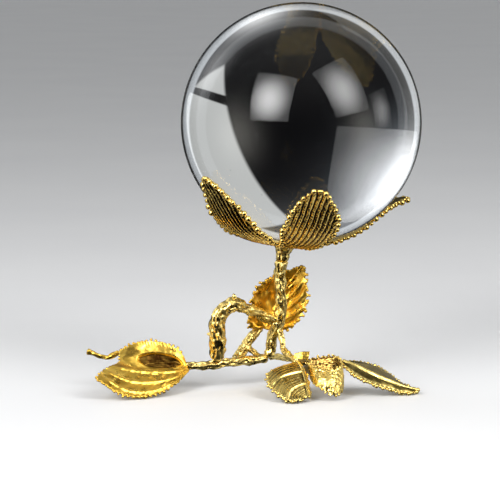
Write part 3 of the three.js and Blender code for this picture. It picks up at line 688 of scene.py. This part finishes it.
height = height - hollow * (0.9 - 0.2 * streaks)
left = pressed(grid, height, (0, -0.5, 1))
relief_shade = 0.5 + 0.9 * (veins + side_veins) + 0.35 * tooth + 0.9 * wall_ribs + 0.12 * lumps(grid, 7.0, 302)
# Inside the hollow the face is painted nearly black as painted shade, with faint lighter streaks.
inside_shaded = relief_shade * (1 - hollow) + 0.16 * hollow * streaks
opens_up = (facing(left) * np.array([0, -0.5, 1])).sum(-1).mean() > 0
faces = dict(relief_shade=inside_shaded, below=relief_shade) if opens_up else dict(relief_shade=relief_shade, below=inside_shaded)
parts = [shell(left, LEAF_THICKNESS, **faces), foot(-51.5, -19.4)]
parts += rim_beads(left, 1.9, 0.48, 310, skip=2)
parts.append(edge_beads(left[-1], left[-1] - left[-3], 1.8, 0.5, 312))
make_piece("left_ground_leaf", parts, gold_leaf, "gilt_leaf")

# %% [markdown]
# ## The front leaf
# It points at the viewer. Its left lobe hangs down to the table like a shell, with fine parallel veins
# and two strong ones, and long teeth along its lower edge.

# %% The front leaf
FRONT_LEAF = [
    [[-2.4, -9, 9.6], [-10.2, -13, 7.7], [-11, -19, 5.2], [-8.4, -24, 2.9], [-4.4, -27.8, 0.8],
     [-0.6, -27.4, 1.2]],
    [[-1.8, -9.6, 10], [-5.8, -13.8, 9.2], [-6, -19, 7.3], [-4.4, -23, 5], [-2.2, -26, 2.5],
     [0.4, -26.8, 1.4]],
    [[-1.2, -10, 10.2], [-0.2, -14, 9.2], [0.6, -18, 7.4], [1.2, -21.5, 5.2], [1.6, -24.2, 3.3],
     [1.9, -25.8, 2]],
    [[-0.6, -9.8, 9.8], [0.9, -14, 8.4], [1.8, -18, 6.6], [2.3, -21.4, 4.4], [2.6, -24, 2.5],
     [2.8, -25.4, 1.4]],
]
grid, u, v = over(FRONT_LEAF, 260, 110)
grid, tooth = teeth(grid, 1.7, 0.9, 0.14)
rib_line = bump(v - 0.7, 0.035)
from_rib = np.clip(0.68 - v, 0, 1)
fine = ridge(24 * u - 8 * from_rib, 1.4) * np.clip(from_rib / 0.1, 0, 1)
strong = bump(u - 0.3 - 0.28 * from_rib, 0.014) + bump(u - 0.58 - 0.3 * from_rib, 0.014)
strong = strong * np.clip(from_rib / 0.05, 0, 1)
height = 0.5 * rib_line + 0.22 * fine + 0.4 * strong + 0.03 * lumps(grid, 2.0, 321)
front = pressed(grid, height, (0, -0.5, 1))
# The lobe beyond the midrib is painted bright as painted light, and the rest of the leaf is painted dark as
# painted shade, with its veins, teeth and midrib left bright.
relief_shade = 0.9 * rib_line + 0.42 * fine**2 + 0.9 * strong + 0.6 * tooth + 0.5 * np.clip((v - 0.72) / 0.1, 0, 1)
parts = [shell(front, LEAF_THICKNESS, relief_shade=relief_shade), foot(-4.7, -26.3)]
parts += rim_beads(front, 1.7, 0.55, 330, skip=2)
parts.append(edge_beads(front[-1], front[-1] - front[-3], 1.6, 0.5, 332))
make_piece("front_ground_leaf", parts, gold_olive, "gilt_leaf")

# %% [markdown]
# ## The rolled leaf and the scale
# Beside the front leaf a small leaf is rolled into a cuff. Its outside is granular all over, its inside
# is a hollow painted dark as shade, with faint lighter streaks, and its lower edge is toothed. A small flat
# scale sits at the end of the stalk.

# %% The rolled leaf and the scale
ROLLED_LEAF = [
    [[2.6, -12, 10.2], [4.2, -18, 10.2], [9, -20.2, 9.6], [13, -17.4, 10.8], [11.4, -12.8, 13],
     [6, -10.8, 12.3],
     [2.6, -10.4, 11.6]],
    [[3, -14, 7.6], [4.8, -20.6, 7.4], [9.2, -22.8, 6.6], [13.3, -19.4, 7], [12, -14.2, 8.6],
     [7.4, -12.2, 8.8],
     [3.6, -11.8, 8.8]],
    [[3.6, -17, 5.4], [5.4, -22.2, 4.8], [9.6, -24.4, 2.3], [13, -21, 2.8], [12.2, -15.8, 4.8],
     [8.4, -13.8, 6],
     [4.6, -13.4, 6.4]],
]
CUFF_MIDDLE = np.array([8.0, -16.5, 8.0])
grid, u, v = over(ROLLED_LEAF, 330, 80)
grid, tooth = teeth(grid, 1.8, 0.9, 0.14)
grains = np.clip(lumps(grid, 1.15, 341), -0.2, 2)
folds = ridge(30 * u + 3 * v, 2.6) ** 3
height = 0.07 * grains + 0.16 * folds * np.clip((v - 0.35) / 0.3, 0, 1) + 0.2 * bump(v - 0.03, 0.05)
away = grid - CUFF_MIDDLE
rolled = pressed(grid, height, away)
relief_shade = 0.42 + 0.4 * grains + 0.4 * folds + 0.3 * tooth
# The outside is painted darker between its grains and folds as painted shade. The inside face gets only low
# values: painted shade in the hollow, with lighter streaks.
streaks = 0.3 * ridge(20 * v + 0.5 * lumps(grid, 4.0, 342, 8), 1.3) ** 3
outward = (facing(rolled) * away).sum(-1).mean() > 0
faces = dict(relief_shade=relief_shade, below=streaks) if outward else dict(relief_shade=streaks, below=relief_shade)
parts = [shell(rolled, LEAF_THICKNESS, **faces)] + rim_beads(rolled, 1.8, 0.42, 350)
make_piece("front_rolled_leaf", parts, gold_grain, "gilt_leaf")

SCALE = [
    [[-1.9, -7.4, 13], [0.4, -7.9, 13.6], [2.9, -7.8, 13.7]],
    [[-2.4, -8.2, 11.2], [0, -8.9, 11.3], [2.4, -8.9, 11]],
]
grid, u, v = over(SCALE, 60, 50)
height = 0.06 * ridge(5 * v + u, 1.1) + 0.03 * lumps(grid, 1.6, 361)
scale = pressed(grid, height, (0, -1, 0.2))
make_piece("front_stipule", [shell(scale, 0.8, relief_shade=0.6 + 2 * height)], gold_leaf, "gilt_leaf")

# %% [markdown]
# ## The upright leaf
# It stands behind the stem and shows its front. Its face is puckered between the veins, its midrib is
# knotty, and its edge has long teeth that each end in a bead.

# %% The upright leaf
UPRIGHT_LEAF = [
    [[-13.2, 9.9, 18.9], [-17.2, 7.6, 19.5], [-17, 6.8, 27], [-14.2, 6.8, 33.6],
     [-7.5, 7.6, 37.6], [0.2, 8.6, 39.9]],
    [[-12.2, 10.3, 18.7], [-10.4, 10.4, 20.5], [-8.3, 10.6, 25.5], [-6, 10.4, 30], [-3, 9.8, 35],
     [0.9, 8.9, 40.2]],
    [[-11.2, 9.9, 18.4], [-4.2, 7.8, 18.7], [1, 6.8, 24.2], [2.4, 6.8, 30], [2.1, 7.4, 35], [1.5, 8.6, 39.9]],
]
grid, u, v = over(UPRIGHT_LEAF, 300, 110)
grid, tooth = teeth(grid, 2.4, 1.0, 0.1)
side = np.abs(v - 0.5)
midrib = bump(v - 0.5, 0.035)
veins = ridge(26 * u - 26 * side, 5.6) ** 4 * np.clip(side / 0.06, 0, 1) * np.clip((0.82 - u) / 0.1, 0, 1)
pucker = np.clip(lumps(grid, 3.2, 371), -1, 1.6)
height = 0.5 * midrib * (1 + 0.4 * lumps(grid, 1.4, 372)) + 0.4 * veins + 0.14 * pucker
upright = pressed(grid, height, (0, -1, 0))
# The puckers and the ground between the veins get lower values and are painted darker as painted shade.
relief_shade = 0.42 + 0.6 * midrib + 0.5 * veins + 0.12 * pucker + 0.4 * tooth
parts = [shell(upright, 1.1, relief_shade=relief_shade)] + rim_beads(upright, 2.4, 0.52, 380, sink=-0.2, skip=2.4)
make_piece("upright_leaf", parts, gold_leaf, "gilt_ribbed_leaf")

# %% [markdown]
# ## The right leaf and the rear leaf
# The right leaf is slim and smooth, with a midrib and a thick beaded edge towards the viewer. The leaf is
# painted dark as shade, and its midrib and near edge are painted bright as painted light.
# The rear leaf lies behind the stand and takes the ball's weight at the back. It is a guess, so it gets
# plain paired veins.

# %% The right leaf
RIGHT_LEAF = [
    [[13.8, -10.2, 10.9], [20.8, -7.5, 9.9], [26.2, -6.5, 8], [30, -7.2, 5.7], [33.4, -9, 3.2],
     [38.3, -11.4, 1.6]],
    [[13.6, -12, 11.1], [18, -12.6, 9.6], [23, -13.2, 7.2], [28.5, -13.2, 4.8],
     [33.6, -12.4, 2.6], [38.6, -12.2, 1.2]],
    [[13.5, -13.6, 10.4], [16.8, -16.4, 7.8], [21.8, -16.9, 5], [28.4, -15.8, 2.5],
     [34, -14, 0.9], [38.2, -13, 0.7]],
]
grid, u, v = over(RIGHT_LEAF, 280, 100)
grid, tooth = teeth(grid, 1.6, 0.7, 0.14)
midrib = bump(v - 0.5, 0.05)
near_band = np.clip((v - 0.82) / 0.1, 0, 1)
height = 0.55 * midrib + 0.3 * near_band * tooth + 0.05 * lumps(grid, 2.5, 391)
right = pressed(grid, height, (0, -0.4, 1))
# A low base value paints the leaf dark as painted shade; the midrib and the band along the near edge are
# painted bright as painted light.
relief_shade = 0.12 + 0.8 * midrib + 0.6 * near_band + 0.3 * tooth
parts = [shell(right, LEAF_THICKNESS, relief_shade=relief_shade), foot(33.4, -13)]
parts += rim_beads(right, 1.6, 0.6, 400, skip=1)
parts.append(beads(right[-1, [25, 50, 75]], np.array([0.7, 0.8, 0.7])))
make_piece("right_ground_leaf", parts, gold_olive, "gilt_leaf")

# %% The rear leaf
REAR_LEAF = [
    [[-0.6, 17.6, 5], [-2.6, 24, 2.8], [-1.6, 31, 1.3], [1.4, 38, 0.8], [5.8, 43, 0.7], [9.4, 46, 0.7]],
    [[0.5, 17, 5.6], [3, 24, 4.4], [5, 31, 3.2], [6.8, 37, 2.2], [8.6, 42, 1.6], [10, 46.4, 0.9]],
    [[1.6, 16.8, 5], [9, 22.5, 2.9], [12.6, 29, 1.4], [13.2, 35, 0.8], [12.2, 41, 0.7], [10.6, 46, 0.7]],
]
grid, u, v = over(REAR_LEAF, 280, 110)
grid, tooth = teeth(grid, 1.9, 0.8, 0.12)
side = np.abs(v - 0.5)
midrib = bump(v - 0.5, 0.03)
veins = ridge(32 * u - 24 * side, 3.4) ** 5 * np.clip(side / 0.05, 0, 1)
height = 0.5 * midrib + 0.3 * veins + 0.05 * lumps(grid, 1.5, 411)
rear = pressed(grid, height, UP)
# The ground between the veins gets lower values and is painted darker as painted shade.
relief_shade = 0.35 + 0.6 * midrib + 0.6 * veins + 0.4 * tooth
parts = [shell(rear, LEAF_THICKNESS, relief_shade=relief_shade), foot(9, 42.7)]
parts += rim_beads(rear, 1.9, 0.55, 420, skip=2)
make_piece("rear_ground_leaf", parts, gold_leaf, "gilt_leaf")

# %% [markdown]
# ## The studio
# A wide pale floor, three soft boxes and a dark room make the studio. Polished gold and clear glass
# have almost no colour or light of their own, so what the room holds is half the picture: the boxes
# give the bright bands, and the dark between them gives the contrast. The floor is left out of what the
# gold and the glass reflect and bend, or it would fill both with pale grey. Each box is brighter near
# its middle, where its bulb is.

# %% The floor
FLOOR_RADIUS = 6.0


def plain_floor(radius, sides=96):
    """A disc: a fan of triangles round its middle, at the height of the table."""
    angle = np.linspace(0, 2 * np.pi, sides, endpoint=False)
    ring = np.stack([np.cos(angle), np.sin(angle), 0 * angle], -1) * radius
    mesh = bpy.data.meshes.new("floor")
    fan = np.stack([np.full(sides, sides), np.arange(sides), np.roll(np.arange(sides), -1)], -1)
    mesh.from_pydata(ring.tolist() + [[0, 0, 0]], [], fan.tolist())
    return bpy.data.objects.new("floor", mesh)


floor = plain_floor(FLOOR_RADIUS)
bpy.context.scene.collection.objects.link(floor)
floor.visible_transmission = False
floor.visible_glossy = False
pale = bpy.data.materials.new("pale_floor")
pale.use_nodes = True
nodes, links = pale.node_tree.nodes, pale.node_tree.links
paper = nodes.new("ShaderNodeTexNoise")
paper.inputs["Scale"].default_value = 9.0
tone = nodes.new("ShaderNodeValToRGB")
tone.color_ramp.elements[0].color = (0.87, 0.87, 0.88, 1)
tone.color_ramp.elements[1].color = (0.93, 0.93, 0.93, 1)
where = nodes.new("ShaderNodeTexCoord")
links.new(where.outputs["Object"], paper.inputs["Vector"])
links.new(paper.outputs["Fac"], tone.inputs["Fac"])
links.new(tone.outputs["Color"], nodes["Principled BSDF"].inputs["Base Color"])
nodes["Principled BSDF"].inputs["Roughness"].default_value = 0.6
floor.data.materials.append(pale)

# %% Soft boxes
BOX_DISTANCE = 0.90
BULB, CLOTH_BRIGHT, CLOTH_DIM = (0.45, 0.45, 0), 2.1, 0.2


def soft_box(name, toward, size, power, tilt=0.0):
    """An area lamp in the direction toward from the ball's centre, facing the ball, turned by tilt
    degrees about that direction. Its cloth is brightest at the bulb, a little off the middle, and fades
    smoothly to a tenth of that towards the corners."""
    lamp = bpy.data.lights.new(name, "AREA")
    lamp.use_nodes = True
    nodes, links = lamp.node_tree.nodes, lamp.node_tree.links
    cloth = nodes.new("ShaderNodeNewGeometry")
    offset = nodes.new("ShaderNodeVectorMath")
    offset.operation = "DISTANCE"
    offset.inputs[1].default_value = BULB
    links.new(cloth.outputs["Parametric"], offset.inputs[0])
    fade = nodes.new("ShaderNodeMapRange")
    fade.interpolation_type = "SMOOTHSTEP"
    fade.inputs["From Max"].default_value = 0.6
    fade.inputs["To Min"].default_value = CLOTH_BRIGHT
    fade.inputs["To Max"].default_value = CLOTH_DIM
    links.new(offset.outputs["Value"], fade.inputs["Value"])
    links.new(fade.outputs["Result"], nodes["Emission"].inputs["Strength"])
    lamp.shape = "RECTANGLE"
    lamp.size, lamp.size_y = size
    lamp.energy = power
    box = bpy.data.objects.new(name, lamp)
    direction = Vector(toward).normalized()
    box.location = Vector(ball_middle) + direction * BOX_DISTANCE
    box.rotation_euler = (direction.to_track_quat("Z", "Y")).to_euler()
    box.rotation_euler.rotate_axis("Z", math.radians(tilt))
    bpy.context.scene.collection.objects.link(box)
    return box


soft_box("front_left_box", toward=(-0.47, -0.77, 0.46), size=(0.62, 0.70), power=9.5)
soft_box("front_right_box", toward=(0.61, -0.60, 0.58), size=(0.60, 0.78), power=6.5, tilt=8)
soft_box("right_box", toward=(0.96, -0.14, 0.18), size=(0.34, 0.42), power=0.7)

# %% [markdown]
# ## The dark room and its soft panels
# The rest of the room is painted on the world as soft shapes that depend only on direction: a tall
# panel behind on the right, cut by one dark bar, a glow behind on the left, a ring of light on the wall
# behind, a patch low down behind, a little light from above, and two warm glows in front for the gold.
# Seen through the ball, the ones behind turn over and become its bright crescents. Lamps could do the
# same, but every lamp near the glass would also light the floor unevenly.

# %% Shapes on the world
world = bpy.data.worlds.new("dark_room")
bpy.context.scene.world = world
world.use_nodes = True
nodes, links = world.node_tree.nodes, world.node_tree.links
sky = nodes.new("ShaderNodeTexCoord")


def work_out(operation, *values):
    """One Math node: each value is a number or the output of another node."""
    node = nodes.new("ShaderNodeMath")
    node.operation = operation
    for socket, value in zip(node.inputs, values):
        if isinstance(value, (int, float)):
            socket.default_value = value
        else:
            links.new(value, socket)
    return node.outputs[0]


def along(direction):
    """How far each direction of the room points along the given one, from -1 to 1."""
    node = nodes.new("ShaderNodeVectorMath")
    node.operation = "DOT_PRODUCT"
    node.inputs[1].default_value = Vector(direction).normalized()
    links.new(sky.outputs["Generated"], node.inputs[0])
    return node.outputs["Value"]


def window(value, middle, half, soft):
    """1 while value is within half of middle and 0 outside, with an edge that is soft wide."""
    node = nodes.new("ShaderNodeMapRange")
    node.interpolation_type = "SMOOTHSTEP"
    node.inputs["From Min"].default_value = half + soft
    node.inputs["From Max"].default_value = half - soft
    links.new(work_out("ABSOLUTE", work_out("SUBTRACT", value, middle)), node.inputs["Value"])
    return node.outputs["Result"]


def glow(toward, spread):
    """A round patch: how well a direction lines up with toward, raised to spread. A larger spread makes
    a smaller patch."""
    return work_out("POWER", work_out("MAXIMUM", along(toward), 0.0), float(spread))


def paint(amount, colour):
    """The colour times the amount."""
    node = nodes.new("ShaderNodeVectorMath")
    node.operation = "SCALE"
    node.inputs[0].default_value = colour
    links.new(amount, node.inputs["Scale"])
    return node.outputs["Vector"]


def add(first, second):
    """The sum of two colours."""
    node = nodes.new("ShaderNodeVectorMath")
    node.operation = "ADD"
    links.new(first, node.inputs[0])
    links.new(second, node.inputs[1])
    return node.outputs["Vector"]


# %% The tall panel
# Each of the first three is a middle, half a width and the softness of the edge, as window takes them.
PANEL_WIDTH = -0.02, 0.35, 0.02
PANEL_HEIGHT = 0.16, 0.76, 0.03
BAR_ACROSS_PANEL = -0.45, 0.036, 0.008
BAR_SLANT = 0.22


def tall_panel(azimuth, elevation, lean):
    """A panel on a wall that faces the ball. A direction's place on the wall is its part along the
    wall's side and up axes, over its part towards the wall. The panel leans by turning those two axes."""
    a, e, t = (math.radians(x) for x in (azimuth, elevation, lean))
    toward = Vector((math.sin(a) * math.cos(e), math.cos(a) * math.cos(e), math.sin(e)))
    side = Vector((math.cos(a), -math.sin(a), 0))
    up = Vector((-math.sin(a) * math.sin(e), -math.cos(a) * math.sin(e), math.cos(e)))
    depth = work_out("MAXIMUM", along(toward), 0.05)
    across = work_out("DIVIDE", along(side * math.cos(t) + up * math.sin(t)), depth)
    height = work_out("DIVIDE", along(up * math.cos(t) - side * math.sin(t)), depth)
    level = work_out("MULTIPLY_ADD", across, BAR_SLANT, work_out("DIVIDE", along(up), depth))
    bar = work_out("SUBTRACT", 1.0, window(level, *BAR_ACROSS_PANEL))
    shape = work_out("MULTIPLY", window(across, *PANEL_WIDTH), window(height, *PANEL_HEIGHT))
    return work_out("MULTIPLY", shape, bar)


panel = paint(tall_panel(azimuth=43, elevation=8, lean=21.5), (0.54, 0.55, 0.54))
ring = paint(window(along((0, 0.997, -0.08)), 0.37, 0.13, 0.03), (0.62, 0.65, 0.68))
behind_left = add(
    paint(glow((-0.77, 0.47, 0.42), 26), (1.8, 1.8, 1.8)),
    paint(glow((-0.62, 0.62, 0.45), 12), (0.30, 0.33, 0.37)),
)
below = paint(glow((0.335, 0.4, -0.85), 40), (1.0, 1.0, 1.0))
overhead = paint(glow((0, -0.2, 1), 2), (0.30, 0.30, 0.30))
front = add(
    paint(glow((-0.90, -0.43, -0.12), 14), (1.9, 1.85, 1.7)),
    paint(glow((0.86, -0.5, 0.0), 26), (1.5, 1.45, 1.3)),
)
room = add(add(add(panel, ring), add(behind_left, below)), add(overhead, front))
dark = nodes.new("ShaderNodeRGB")
dark.outputs[0].default_value = (0.003, 0.003, 0.0035, 1)
links.new(add(room, dark.outputs[0]), nodes["Background"].inputs["Color"])
nodes["Background"].inputs["Strength"].default_value = 1.0
print("world nodes", len(nodes))

# %% [markdown]
# ## The camera
# A long lens from a little above the ball, looking down by under eight degrees, keeps the ball round.

# %% The camera
CAMERA_PLACE, LOOKS_DOWN, FOCAL_LENGTH = (-17.0, -785.0, 153.0), 7.7, 170.3
lens = bpy.data.cameras.new("camera")
lens.sensor_width, lens.lens = 36.0, FOCAL_LENGTH
lens.clip_start, lens.clip_end = 0.05, 50.0
camera = bpy.data.objects.new("camera", lens)
camera.location = AXIS + np.array(CAMERA_PLACE) * MM
camera.rotation_euler = (math.radians(90 - LOOKS_DOWN), 0, 0)
bpy.context.scene.collection.objects.link(camera)
bpy.context.scene.camera = camera
bpy.context.scene.view_settings.view_transform = "Standard"
